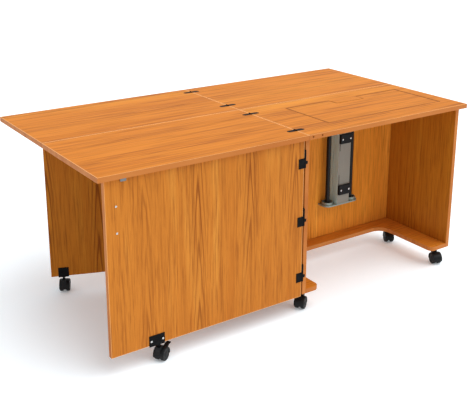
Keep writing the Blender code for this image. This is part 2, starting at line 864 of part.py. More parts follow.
def make_gateleg(wood, black, tyre):
    """The rear gateleg, modelled along -X from its axis and then turned to where it stands."""
    face = GATELEG_AXIS.y + 0.0003
    back = face + BOARD
    far_edge = GATELEG_EDGE - GATELEG_LENGTH
    board = box(
        "rear_gateleg", (far_edge, face, DOOR_BOTTOM), (GATELEG_EDGE, back, GATELEG_TOP), EDGE_ROUND
    )
    finish(board, wood)
    flags = [
        make_flag_hinge(
            f"gateleg_hinge_{label}",
            GATELEG_AXIS,
            height,
            face - GAP,
            (SIDE_REAR - 0.035, GATELEG_AXIS.y),
            black,
        )
        for label, height in zip(("low", "high"), GATELEG_HINGE_HEIGHTS)
    ]
    castor_x = far_edge + 0.052
    bracket = castor_bracket("gateleg_castor_bracket", castor_x, 0.044, castor_x, face, back, black)
    turn = (
        Matrix.Translation(GATELEG_AXIS)
        @ Matrix.Rotation(GATELEG_ANGLE, 4, "Z")
        @ Matrix.Translation(-GATELEG_AXIS)
    )
    moving = [board, *flags, bracket]
    for item in moving:
        item.data.transform(turn)
    pivot = joint_empty("gateleg_axis", GATELEG_AXIS)
    attach(pivot, moving)
    place = turn @ Vector((castor_x, (face + back) / 2, 0.0))
    make_castor("gateleg_castor", place, DOOR_BOTTOM - 2 * GAP, 60, pivot, black, tyre)


def make_base_castors(black, tyre, zinc):
    """Four castors under the base plate, each in its own bored plate."""
    places = {
        "front_left": (0.042, FRONT + 0.075, 215),
        "front_right": (0.822, FRONT + 0.073, 250),
        "rear_left": (0.042, FRONT + 0.375, 200),
        "rear_right": (0.822, FRONT + 0.375, 240),
    }
    for name, (x, y, trail) in places.items():
        plate = box(
            f"{name}_castor_plate",
            (x - 0.020, y - 0.020, BASE_UNDER - GAP - CASTOR_PLATE),
            (x + 0.020, y + 0.020, BASE_UNDER - GAP),
        )
        bore = rod(f"plate_bore_{name}", (x, y, BASE_UNDER - 0.02), (x, y, BASE_UNDER + 0.01), STEM_BORE)
        finish(cut(plate, [bore]), zinc)
        make_castor(
            f"{name}_castor", Vector((x, y, 0.0)), BASE_UNDER - 2 * GAP, trail, None, black, tyre
        )


def main():
    clear_scene()
    wood = make_material("honey_laminate", (0.62, 0.27, 0.06), 0.42)
    black = make_material("black_steel", (0.02, 0.02, 0.022), 0.45, 0.6)
    plastic = make_material("black_plastic", (0.018, 0.018, 0.02), 0.5)
    tyre = make_material("castor_tyre", (0.03, 0.03, 0.032), 0.6)
    zinc = make_material("zinc_plate", (0.62, 0.63, 0.62), 0.32, 1.0)
    aluminium = make_material("lift_aluminium", (0.46, 0.46, 0.42), 0.4, 1.0)

    front_left, rear_left, rear_right, _, platform = make_tops(wood)
    make_carcass(wood)
    make_lift(aluminium, zinc, plastic)

    front_straps = [make_strap(f"front_strap_{n}", y, black) for n, y in enumerate(FRONT_STRAPS)]
    rear_straps = [make_strap(f"rear_strap_{n}", y, black) for n, y in enumerate(REAR_STRAPS)]
    _, drop_rear = make_drop_hinge(black)

    fold = joint_empty("front_fold_axis", (0.0, FRONT, STRAP_AXIS_HEIGHT))
    attach(fold, [front_left, *(left for _, left in front_straps)])
    drop = joint_empty("rear_drop_axis", (0.0, LENGTH_SEAM_Y, DROP_AXIS_HEIGHT))
    attach(drop, [rear_right, drop_rear, *(right for right, _ in rear_straps)])
    rear_fold = joint_empty("rear_fold_axis", (0.0, REAR, STRAP_AXIS_HEIGHT), drop)
    attach(rear_fold, [rear_left, *(left for _, left in rear_straps)])

    lift = joint_empty("lift_axis", (LIFT_X, ROD_Y, TABLE_HEIGHT))
    attach(lift, [platform, bpy.data.objects["lift_carriage"], bpy.data.objects["platform_arms"]])

    make_door(wood, black, zinc, tyre)
    make_gateleg(wood, black, tyre)
    make_base_castors(black, tyre, zinc)


main()
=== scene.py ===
"""Looks of the fold-away sewing table: laminate, metal and plastic finishes, and fine detail pieces."""

import json
import math

import bmesh
import bpy
from mathutils import Matrix, Vector


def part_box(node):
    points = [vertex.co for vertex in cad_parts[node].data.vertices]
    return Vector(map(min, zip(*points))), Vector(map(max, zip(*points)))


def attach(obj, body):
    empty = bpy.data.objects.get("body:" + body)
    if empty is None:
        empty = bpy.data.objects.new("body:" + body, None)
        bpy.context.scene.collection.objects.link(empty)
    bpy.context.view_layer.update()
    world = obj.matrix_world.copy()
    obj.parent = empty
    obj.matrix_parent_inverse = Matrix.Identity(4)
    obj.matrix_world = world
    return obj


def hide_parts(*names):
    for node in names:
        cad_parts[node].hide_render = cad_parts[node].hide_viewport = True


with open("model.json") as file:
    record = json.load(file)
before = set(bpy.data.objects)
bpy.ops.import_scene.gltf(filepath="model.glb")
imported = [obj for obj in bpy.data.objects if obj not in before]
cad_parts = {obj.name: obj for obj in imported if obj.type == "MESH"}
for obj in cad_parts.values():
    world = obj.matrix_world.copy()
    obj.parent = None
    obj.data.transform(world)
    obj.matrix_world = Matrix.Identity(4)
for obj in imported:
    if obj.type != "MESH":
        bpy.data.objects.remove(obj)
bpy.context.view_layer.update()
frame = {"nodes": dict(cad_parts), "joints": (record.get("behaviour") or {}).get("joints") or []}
nodes = frame["nodes"]

# The frame's own places, in metres
main_low, main_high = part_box("main_top")
door_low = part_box("front_door")[0]
TOP_HEIGHT = main_high.z
TOP_UNDER = main_low.z
joints = {joint["name"]: joint for joint in frame["joints"]}
GATELEG_AXIS = Vector(joints["rear_gateleg_swing"]["pos_m"])
GATELEG_ANGLE = math.radians(joints["rear_gateleg_swing"]["range_deg"][0])


# Shader helpers


def linear(red, green, blue):
    """An sRGB colour in 0 to 255 as the linear colour that Blender mixes."""

    def channel(value):
        value /= 255
        return value / 12.92 if value <= 0.04045 else ((value + 0.055) / 1.055) ** 2.4

    return (channel(red), channel(green), channel(blue), 1.0)


class Shader:
    """A small builder round one material's node tree."""

    def __init__(self, name):
        self.material = bpy.data.materials.new(name)
        self.material.use_nodes = True
        self.tree = self.material.node_tree
        self.surface = self.tree.nodes["Principled BSDF"]

    def add(self, kind, **inputs):
        """A node of this kind; inputs are set or linked by name, with spaces written as underscores."""
        node = self.tree.nodes.new(kind)
        for name, value in inputs.items():
            self.feed(node.inputs[name.replace("_", " ")], value)
        return node

    def feed(self, socket, value):
        """Link an output, or set a plain value."""
        if isinstance(value, bpy.types.NodeSocket):
            self.tree.links.new(value, socket)
        else:
            socket.default_value = value

    def math(self, operation, first, second=0.0, clamp=False):
        """The output of a Math node."""
        node = self.tree.nodes.new("ShaderNodeMath")
        node.operation = operation
        node.use_clamp = clamp
        self.feed(node.inputs[0], first)
        self.feed(node.inputs[1], second)
        return node.outputs[0]

    def vector(self, operation, first, second):
        """A Vector Math node."""
        node = self.tree.nodes.new("ShaderNodeVectorMath")
        node.operation = operation
        self.feed(node.inputs[0], first)
        self.feed(node.inputs[1], second)
        return node

    def along(self, vector, axis):
        """How far a vector reaches along an axis."""
        return self.vector("DOT_PRODUCT", vector, axis).outputs["Value"]

    def mix(self, factor, first, second, blend="MIX"):
        """The output of a colour Mix node."""
        node = self.tree.nodes.new("ShaderNodeMix")
        node.data_type = "RGBA"
        node.blend_type = blend
        self.feed(node.inputs["Factor"], factor)
        self.feed(node.inputs[6], first)
        self.feed(node.inputs[7], second)
        return node.outputs[2]

    def noise(self, vector, scale, detail=2.0, roughness=0.5, distortion=0.0):
        """The value of a noise texture."""
        node = self.add(
            "ShaderNodeTexNoise",
            Vector=vector,
            Scale=scale,
            Detail=detail,
            Roughness=roughness,
            Distortion=distortion,
        )
        return node.outputs[0]

    def ramp(self, factor, stops):
        """A colour ramp through (position, colour) stops."""
        node = self.tree.nodes.new("ShaderNodeValToRGB")
        self.feed(node.inputs[0], factor)
        elements = node.color_ramp.elements
        while len(elements) < len(stops):
            elements.new(0.5)
        for element, (position, color) in zip(elements, stops):
            element.position = position
            element.color = color
        return node.outputs[0]

    def span(self, value, low, high, new_low=0.0, new_high=1.0):
        """A value mapped from one range to another and clamped."""
        node = self.add(
            "ShaderNodeMapRange", Value=value, From_Min=low, From_Max=high, To_Min=new_low, To_Max=new_high
        )
        return node.outputs[0]

    def bump(self, height, strength, distance):
        """Feed a height to the surface's normal."""
        node = self.add("ShaderNodeBump", Strength=strength, Distance=distance, Height=height)
        self.feed(self.surface.inputs["Normal"], node.outputs[0])


# Wood laminate

X_AXIS = Vector((1.0, 0.0, 0.0))
Y_AXIS = Vector((0.0, 1.0, 0.0))
Z_AXIS = Vector((0.0, 0.0, 1.0))

GRAIN_LIGHT = linear(228, 148, 54)
GRAIN_WARM = linear(214, 130, 42)
GRAIN_MID = linear(200, 116, 34)
GRAIN_DARK = linear(140, 70, 16)
BAND_LIGHT = linear(198, 124, 62)
BAND_DARK = linear(174, 99, 44)

# Painted rims along a board's four sides: colour, width and how strongly they cover the grain
# a pale painted highlight along the eased edges of the tops and the door
EDGE_HIGHLIGHT_RIM = (linear(250, 190, 128), 0.0028)
# a dark painted shade of the gap round the lift platform, laid on the platform's border
GAP_SHADE_RIM = (linear(66, 32, 10), 0.0050)
PAINTED_RIM_COVER = 0.85

# Noise layers of the grain: cells per metre along, cells per metre across, detail, roughness, distortion
GRAIN_LAYERS = {
    "wander": (1.3, 4.0, 3.0, 0.5, 0.0),
    "patches": (1.5, 1.0, 1.0, 0.5, 0.0),
    "broad": (0.8, 11.0, 4.0, 0.6, 0.3),
    "streak": (2.6, 72.0, 4.0, 0.65, 0.2),
    "lines": (6.5, 165.0, 3.0, 0.6, 0.0),
    "fibre": (8.0, 420.0, 2.0, 0.6, 0.0),
    "pores": (34.0, 900.0, 1.0, 0.5, 0.0),
}
# What each layer does to the colour: its values from and to, the cover there, and the colour laid on
GRAIN_SHADES = (
    ("streak", 0.52, 0.76, 0.0, 0.42, GRAIN_DARK),
    ("streak", 0.26, 0.42, 0.25, 0.0, GRAIN_LIGHT),
    ("lines", 0.50, 0.70, 0.0, 0.58, GRAIN_DARK),
    ("fibre", 0.35, 0.75, 0.0, 0.30, GRAIN_DARK),
    ("pores", 0.64, 0.80, 0.0, 0.40, GRAIN_DARK),
)

# Arches of the grain, nested along lines this far apart
ARCH_SPACING = 0.22
ARCH_REACH = (0.012, 0.045)
ARCH_COVER = 0.85
ARCH_STEEPNESS = 420.0
ARCH_TIP = 3.0
ARCH_CLIMB = 26.0
WANDER_ACROSS = 0.060
WANDER_ALONG = 0.20
ACROSS_SHIFT = 0.731

LAMINATE_SPECULAR = 0.08


def wood_material(name, axes, offset, colour_and_shade_tint, density=1.0, painted_rim=None):
    """Wood-grain laminate on a board.

    axes are the board's own directions at rest: along the grain, across it and through the board. offset
    shifts the pattern so that no two boards repeat it. Faces that point through the board carry the
    laminate, and the narrow faces carry a plainer edge band. The tint multiplies the laminate's colour:
    it shifts the colour and makes lighter or darker copies of the one laminate as painted light and shade,
    and density is how close the streaks lie and how short they are. The rim is (board, colour, width): a
    narrow painted border along the four sides of that board, a painted highlight or a painted gap shade.
    """
    along, across, thin = axes
    shader = Shader(name)
    place = shader.add("ShaderNodeTexCoord")
    position = place.outputs["Object"]
    u = shader.math("ADD", shader.along(position, along), offset)
    v = shader.math("ADD", shader.along(position, across), offset * ACROSS_SHIFT)
    w = shader.along(position, thin)

    def layer(name):
        scale_u, scale_v, detail, roughness, distortion = GRAIN_LAYERS[name]
        stretched = shader.add(
            "ShaderNodeCombineXYZ",
            X=shader.math("MULTIPLY", u, scale_u * density),
            Y=shader.math("MULTIPLY", v, scale_v * density),
            Z=w,
        )
        return shader.noise(stretched.outputs[0], 1.0, detail, roughness, distortion)

    layers = {name: layer(name) for name in GRAIN_LAYERS}

    # nested arches whose tips repeat along each arch line, and wander with the grain
    wander = layers["wander"]
    sway = shader.math("MULTIPLY", shader.math("SUBTRACT", wander, 0.5), WANDER_ACROSS)
    half_spacing = ARCH_SPACING / 2
    folded = shader.math("PINGPONG", shader.math("ADD", v, sway), half_spacing)
    from_line = shader.math("SUBTRACT", half_spacing, folded)
    steep = shader.math("POWER", shader.math("MULTIPLY", from_line, ARCH_STEEPNESS), 2.0)
    tip = shader.math("SQRT", shader.math("ADD", steep, ARCH_TIP))
    climb = shader.math("ADD", u, shader.math("MULTIPLY", wander, WANDER_ALONG))
    wave = shader.math("SINE", shader.math("ADD", tip, shader.math("MULTIPLY", climb, ARCH_CLIMB)))
    near_line = shader.span(from_line, *ARCH_REACH, 1.0, 0.0)
    in_patch = shader.span(layers["patches"], 0.40, 0.60)
    arches = shader.math("MULTIPLY", shader.span(wave, 0.25, 1.0), near_line)
    arches = shader.math("MULTIPLY", arches, in_patch)

    base = shader.ramp(
        shader.span(layers["broad"], 0.30, 0.70),
        ((0.0, GRAIN_MID), (0.38, GRAIN_WARM), (0.66, GRAIN_WARM), (1.0, GRAIN_LIGHT)),
    )
    base = shader.mix(shader.math("MULTIPLY", arches, ARCH_COVER), base, GRAIN_DARK)
    for layer_name, low, high, cover_low, cover_high, laid_on in GRAIN_SHADES:
        base = shader.mix(shader.span(layers[layer_name], low, high, cover_low, cover_high), base, laid_on)
    # the tint shifts the colour and makes a lighter or darker copy of the laminate as painted light or shade
    base = shader.mix(1.0, base, (*colour_and_shade_tint, 1.0), "MULTIPLY")
    # painted rim: a narrow band along the board's four sides, a pale painted highlight or a dark painted gap
    # shade
    if painted_rim:
        board, painted_rim_color, painted_rim_width = painted_rim
        low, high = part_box(board)
        inset = 1.0
        for axis in (along, across):
            place_on = shader.along(position, axis)
            inset = shader.math("MINIMUM", inset, shader.math("SUBTRACT", place_on, low.dot(axis)))
            inset = shader.math("MINIMUM", inset, shader.math("SUBTRACT", high.dot(axis), place_on))
        base = shader.mix(shader.span(inset, painted_rim_width * 0.6, painted_rim_width, PAINTED_RIM_COVER, 0.0), base, painted_rim_color)

    band = shader.ramp(shader.span(layers["streak"], 0.3, 0.7), ((0.0, BAND_LIGHT), (1.0, BAND_DARK)))
    facing = shader.math("ABSOLUTE", shader.along(place.outputs["Normal"], thin))
    color = shader.mix(shader.span(facing, 0.80, 0.97), band, base)
    shader.feed(shader.surface.inputs["Base Color"], color)
    shader.feed(shader.surface.inputs["Roughness"], shader.span(layers["fibre"], 0.2, 0.8, 0.40, 0.52))
    shader.surface.inputs["Specular IOR Level"].default_value = LAMINATE_SPECULAR
    relief = shader.math(
        "ADD", shader.math("MULTIPLY", layers["fibre"], 0.6), shader.math("MULTIPLY", layers["pores"], 0.4)
    )
    shader.bump(relief, 0.12, 0.0004)
    return shader.material


# Metals and plastics

# Bounds of the column's dark painted slot shade: how deep the flanks reach, and the slot's mouth
FLANK_DEPTH = 0.0040
SLOT_MOUTH = 0.0022


def metal_material(name, color, roughness, grain=(900.0, 40.0, 900.0), shade=0.10, metallic=1.0):
    """Metal with fine directional scratches and a little uneven tone."""
    shader = Shader(name)
    place = shader.add("ShaderNodeTexCoord").outputs["Object"]
    scratches = shader.noise(shader.vector("MULTIPLY", place, grain).outputs[0], 1.0, 3.0, 0.6)
    clouds = shader.noise(place, 34.0, 3.0, 0.55)
    dark = tuple(channel * (1.0 - 2.2 * shade) for channel in color[:3]) + (1.0,)
    tone = shader.mix(shader.span(clouds, 0.3, 0.7), dark, color)
    shader.feed(shader.surface.inputs["Base Color"], tone)
    shader.surface.inputs["Metallic"].default_value = metallic
    shader.feed(
        shader.surface.inputs["Roughness"],
        shader.span(scratches, 0.25, 0.75, roughness * 0.8, roughness * 1.25),
    )
    shader.bump(scratches, 0.10, 0.0002)
    return shader.material


def column_material(name, front, side, slot):
    """Anodised extrusion, brushed along Z, with painted reflections and shade: the front in a brownish tone
    that paints the wood it reflects, the flanks in a paler tone that paints the white surroundings they
    reflect, and the slots dark as painted shade.
    """
    shader = Shader(name)
    place = shader.add("ShaderNodeTexCoord")
    position = place.outputs["Object"]
    stretched = shader.vector("MULTIPLY", position, (900.0, 900.0, 14.0)).outputs[0]
    brushed = shader.noise(stretched, 1.0, 3.0, 0.6)
    low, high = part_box("lift_column")
    half_width = (high.x - low.x) / 2
    # Faces turned to the sides get the paler tone, a painted reflection of the white surroundings; the front
    # gets the brownish painted reflection of the wood
    turned = shader.span(shader.math("ABSOLUTE", shader.along(place.outputs["Normal"], X_AXIS)), 0.4, 0.8)
    from_middle = shader.math(
        "ABSOLUTE", shader.math("SUBTRACT", shader.along(position, X_AXIS), (low.x + high.x) / 2)
    )
    # The slot's walls and floor take the dark colour as painted shade
    is_flank = shader.span(from_middle, half_width - FLANK_DEPTH, half_width - FLANK_DEPTH + 0.0004)
    is_deep = shader.span(shader.along(position, Y_AXIS), low.y + SLOT_MOUTH, low.y + SLOT_MOUTH + 0.0004)
    hidden = shader.math("MAXIMUM", is_deep, turned)
    slot_shade_mask = shader.math("MULTIPLY", shader.math("SUBTRACT", 1.0, is_flank), hidden)
    tone = shader.mix(slot_shade_mask, shader.mix(turned, front, side), slot)
    tone = shader.mix(shader.span(brushed, 0.3, 0.7, 0.0, 0.25), tone, linear(92, 86, 76))
    shader.feed(shader.surface.inputs["Base Color"], tone)
    shader.surface.inputs["Metallic"].default_value = 0.10
    shader.feed(shader.surface.inputs["Roughness"], shader.span(brushed, 0.25, 0.75, 0.38, 0.55))
    shader.bump(brushed, 0.10, 0.0002)
    return shader.material


def plastic_material(name, color, roughness, pebble=900.0, depth=0.0001, specular=0.18):
    """Moulded plastic or enamel with rubbed patches; pebble is in cells per metre and depth in metres."""
    shader = Shader(name)
    place = shader.add("ShaderNodeTexCoord").outputs["Object"]
    pebbles = shader.noise(place, pebble, 2.0, 0.5)
    rubbed = shader.noise(place, 55.0, 3.0, 0.6)
    lighter = tuple(min(1.0, channel * 1.9 + 0.004) for channel in color[:3]) + (1.0,)
    tone = shader.mix(shader.span(rubbed, 0.45, 0.75, 0.0, 0.55), color, lighter)
    shader.feed(shader.surface.inputs["Base Color"], tone)
    shader.feed(
        shader.surface.inputs["Roughness"], shader.span(rubbed, 0.3, 0.7, roughness * 0.85, roughness * 1.15)
    )
    shader.surface.inputs["Specular IOR Level"].default_value = specular
    shader.bump(pebbles, 0.25, depth)
    return shader.material


def dress(material, *names):
    """Give CAD nodes a finish."""
    for name in names:
        for entry in nodes[name].material_slots:
            entry.material = material


GATE_ALONG = Vector((math.cos(GATELEG_ANGLE), math.sin(GATELEG_ANGLE), 0.0))
GATE_THIN = Vector((-math.sin(GATELEG_ANGLE), math.cos(GATELEG_ANGLE), 0.0))
FLAT_BOARD = (X_AXIS, Y_AXIS, Z_AXIS)
SIDE_BOARD = (Z_AXIS, Y_AXIS, X_AXIS)
FRONT_BOARD = (Z_AXIS, X_AXIS, Y_AXIS)
GATE_BOARD = (Z_AXIS, GATE_ALONG, GATE_THIN)

NO_TINT = (1.0, 1.0, 1.0)
# Tints of the one laminate: the door and side boards are darker copies as painted shade, the rear panel a
# lighter copy as painted light, and the tops' tint shifts the colour towards yellow and lightens it a little
TOP_TINT = (1.06, 1.01, 0.64)
DOOR_SHADE_TINT = (0.86, 0.86, 1.00)
REAR_LIGHT_TINT = (1.22, 1.28, 1.30)
SIDE_SHADE_TINT = (0.74, 0.74, 0.54)
TOP_DENSITY = 0.45

TOPS = ("front_left_leaf", "main_top", "rear_left_leaf", "rear_right_leaf", "lift_platform")
for index, top in enumerate(TOPS):
    # The lift platform's border gets painted gap shade, the other tops a painted edge highlight
    painted_rim = GAP_SHADE_RIM if top == "lift_platform" else EDGE_HIGHLIGHT_RIM
    laminate = wood_material("laminate_" + top, FLAT_BOARD, 0.37 * index, TOP_TINT, TOP_DENSITY, (top, *painted_rim))
    dress(laminate, top)
for board, axes, offset, colour_and_shade_tint, painted_rim in (
    ("left_side_panel", SIDE_BOARD, 2.10, SIDE_SHADE_TINT, None),
    ("right_side_panel", SIDE_BOARD, 2.55, SIDE_SHADE_TINT, None),
    ("rear_panel", FRONT_BOARD, 3.30, REAR_LIGHT_TINT, None),
    ("front_door", FRONT_BOARD, 3.83, DOOR_SHADE_TINT, ("front_door", *EDGE_HIGHLIGHT_RIM)),
    ("rear_gateleg", GATE_BOARD, 5.20, SIDE_SHADE_TINT, None),
    ("base_plate", FLAT_BOARD, 6.40, NO_TINT, None),
):
    dress(wood_material("laminate_" + board, axes, offset, colour_and_shade_tint, painted_rim=painted_rim), board)

black_enamel = plastic_material("black_enamel", linear(16, 16, 17), 0.50, 1200.0, 0.00006, 0.05)
black_plastic = plastic_material("black_nylon", linear(17, 17, 18), 0.42)
tyre_plastic = plastic_material("tyre_nylon", linear(26, 26, 27), 0.50, 700.0)
rod_enamel = plastic_material("rod_black", linear(26, 22, 20), 0.35)
zinc = metal_material("bright_zinc", linear(196, 200, 196), 0.30)
foot_zinc = metal_material("foot_zinc", linear(150, 160, 150), 0.45, metallic=0.35)
dull_zinc = metal_material("dull_zinc", linear(128, 130, 132), 0.45, metallic=0.7)
screw_nickel = metal_material("screw_nickel", linear(222, 222, 220), 0.22)
# Column tones: a brownish painted reflection on the front, a pale painted reflection on the flanks, and dark
# painted shade in the slots
aluminium = column_material(
    "mill_aluminium", linear(142, 136, 124), linear(214, 246, 240), linear(20, 18, 16)
)

CASTORS = ("door", "gateleg", "front_left", "front_right", "rear_left", "rear_right")
BASE_CASTORS = CASTORS[2:]
HINGE_NODES = [name for name in nodes if "_strap_" in name or "_hinge_" in name]
dress(black_enamel, *HINGE_NODES, "door_castor_bracket", "gateleg_castor_bracket")
dress(black_plastic, "column_block_lower", "column_block_upper", "door_castor_brake")
dress(black_plastic, *(castor + "_castor_hood" for castor in CASTORS))
dress(tyre_plastic, *(castor + "_castor_wheels" for castor in CASTORS))
dress(rod_enamel, "guide_rod_left", "guide_rod_right")
dress(foot_zinc, "lift_foot")
dress(zinc, "lift_carriage", "platform_arms", "door_pull")
dress(zinc, *(castor + "_castor_plate" for castor in BASE_CASTORS))
dress(dull_zinc, "door_catch")
dress(aluminium, "lift_column")


# Fine pieces


def store(name, shape, material, body, angle=35.0):
    """Turn a bmesh into a named piece that rides on a body and carries one material."""
    bmesh.ops.recalc_face_normals(shape, faces=shape.faces)
    mesh = bpy.data.meshes.new(name)
    shape.to_mesh(mesh)
    shape.free()
    mesh.materials.append(material)
    mesh.shade_smooth()
    mesh.set_sharp_from_angle(angle=math.radians(angle))
    piece = bpy.data.objects.new(name, mesh)
    bpy.context.scene.collection.objects.link(piece)
    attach(piece, body)
    return piece


def lathe(profile, segments=32):
    """A closed shape turned about Z from (radius, height) points that start and end on the axis."""
    shape = bmesh.new()
    rings = []
    for radius, height in profile:
        if radius == 0.0:
            rings.append([shape.verts.new((0.0, 0.0, height))] * segments)
            continue
        ring = []
        for step in range(segments):
            angle = 2 * math.pi * step / segments
            ring.append(shape.verts.new((radius * math.cos(angle), radius * math.sin(angle), height)))
        rings.append(ring)
    for lower, upper in zip(rings, rings[1:]):
        for step in range(segments):
            after = (step + 1) % segments
            corners = []
            for corner in (lower[step], lower[after], upper[after], upper[step]):
                if corner not in corners:
                    corners.append(corner)
            shape.faces.new(corners)
    bmesh.ops.recalc_face_normals(shape, faces=shape.faces)
    return shape


def wall(shape, lower, upper):
    """Faces between two rings with as many vertices."""
    for step in range(len(lower)):
        after = (step + 1) % len(lower)
        shape.faces.new((lower[step], lower[after], upper[after], upper[step]))


def sweep(loop, angles, center):
    """A loop of (offset along Y, radius) points swept about a line along Y through center."""
    shape = bmesh.new()
    rings = []
    for degrees in angles:
        angle = math.radians(degrees)
        ring = []
        for offset, radius in loop:
            ring.append(
                shape.verts.new(
                    (center.x + radius * math.cos(angle), offset, center.z + radius * math.sin(angle))
                )
            )
        rings.append(ring)
    for lower, upper in zip(rings, rings[1:]):
        wall(shape, lower, upper)
    shape.faces.new(rings[0])
    shape.faces.new(list(reversed(rings[-1])))
    bmesh.ops.recalc_face_normals(shape, faces=shape.faces)
    return shape


def prism(outline, low, high, rounding, segments=3):
    """An outline of (x, z) points, as thick along Y as low to high, with rounded edges."""
    shape = bmesh.new()
    near = [shape.verts.new((x, low, z)) for x, z in outline]
    far = [shape.verts.new((x, high, z)) for x, z in outline]
    shape.faces.new(near)
    shape.faces.new(list(reversed(far)))
    for step in range(len(outline)):
        after = (step + 1) % len(outline)
        shape.faces.new((near[step], far[step], far[after], near[after]))
    bmesh.ops.recalc_face_normals(shape, faces=shape.faces)
    sharp = [edge for edge in shape.edges if edge.calc_face_angle(0.0) > math.radians(30)]
    bmesh.ops.bevel(
        shape,
        geom=sharp,
        offset=rounding,
        segments=segments,
        profile=0.5,
        affect="EDGES",
        clamp_overlap=True,
    )
    return shape


def boolean(first, second, operation):
    """The result of a Boolean between two bmeshes, as a bmesh."""
    items = []
    for shape in (first, second):
        mesh = bpy.data.meshes.new("operand")
        shape.to_mesh(mesh)
        shape.free()
        item = bpy.data.objects.new("operand", mesh)
        bpy.context.scene.collection.objects.link(item)
        items.append(item)
    step = items[0].modifiers.new("step", "BOOLEAN")
    step.operation = operation
    step.object = items[1]
    bpy.context.view_layer.update()
    evaluated = items[0].evaluated_get(bpy.context.evaluated_depsgraph_get())
    mesh = bpy.data.meshes.new_from_object(evaluated)
    result = bmesh.new()
    result.from_mesh(mesh)
    bmesh.ops.remove_doubles(result, verts=result.verts, dist=0.000002)
    bpy.data.meshes.remove(mesh)
    for item in items:
        mesh = item.data
        bpy.data.objects.remove(item, do_unlink=True)
        bpy.data.meshes.remove(mesh)
    return result


def gather(parts):
    """Several (bmesh, matrix) pairs as one bmesh; the bmeshes stay as they are."""
    joined = bmesh.new()
    for shape, matrix in parts:
        mesh = bpy.data.meshes.new("part")
        shape.to_mesh(mesh)
        mesh.transform(matrix)
        joined.from_mesh(mesh)
        bpy.data.meshes.remove(mesh)
    return joined


def make_screw_head(profile, recess_floor):
    """A head of unit radius whose seat is at Z = 0, with a cross recess down to recess_floor."""
    head = lathe(profile, 20)
    recess_top = profile[-1][1] + 0.1
    depth = recess_top - recess_floor
    for turn in (0.0, 90.0):
        arm = bmesh.new()
        bmesh.ops.create_cube(arm, size=1.0)
        place = Matrix.Translation((0.0, 0.0, recess_floor + depth / 2))
        place = place @ Matrix.Rotation(math.radians(turn), 4, "Z")
        bmesh.ops.transform(arm, matrix=place @ Matrix.Diagonal((1.05, 0.20, depth, 1.0)), verts=arm.verts)
        head = boolean(head, arm, "DIFFERENCE")
    return head


PAN_HEAD = make_screw_head(
    (
        (0.0, -0.30),
        (0.86, -0.30),
        (0.96, 0.0),
        (1.0, 0.12),
        (0.97, 0.30),
        (0.86, 0.46),
        (0.62, 0.58),
        (0.32, 0.64),
        (0.0, 0.65),
    ),
    0.34,
)
FLAT_HEAD = make_screw_head(
    ((0.0, -0.30), (0.80, -0.30), (1.0, 0.0), (0.98, 0.04), (0.90, 0.06), (0.0, 0.07)),
    -0.20,
)


def screws(name, body, material, spots, radius, head=PAN_HEAD):
    """Screw heads on one body; spots are (place, outward direction) pairs."""
    parts = []
    for index, (place, outward) in enumerate(spots):
        turn = Vector(outward).to_track_quat("Z", "Y").to_matrix().to_4x4()
        spin = Matrix.Rotation(math.radians(37.0 * index), 4, "Z")
        parts.append((head, Matrix.Translation(place) @ turn @ spin @ Matrix.Scale(radius, 4)))
    return store(name, gather(parts), material, body)


# Castors: the hood hangs from its stem, and the wheels turn on an axle behind it

WHEEL_RADIUS = 0.025
HOOD_HALF = 0.0213
HOOD_INSIDE = 0.0257
HOOD_OUTSIDE = 0.0290
HOOD_CROWN = 0.0017
SEAT_RADIUS = 0.0276
WEB_HALF = 0.0050
WEB_INNER = 0.0045
NECK_HALF = 0.0095
STEM_RADIUS = 0.0048
STEM_INSET = 0.0027
COLLAR_RADIUS = 0.0090
AXLE_RADIUS = 0.003

# The brake pedal's side view, as (x, z) from the stem's axis and the floor, and the ribs over its tip
PEDAL_OUTLINE = (
    (0.0270, 0.0500),
    (0.0340, 0.0492),
    (0.0410, 0.0535),
    (0.0575, 0.0543),
    (0.0580, 0.0563),
    (0.0400, 0.0562),
    (0.0320, 0.0535),
    (0.0270, 0.0525),
)
RIB_STARTS = (0.0455, 0.0495, 0.0535)


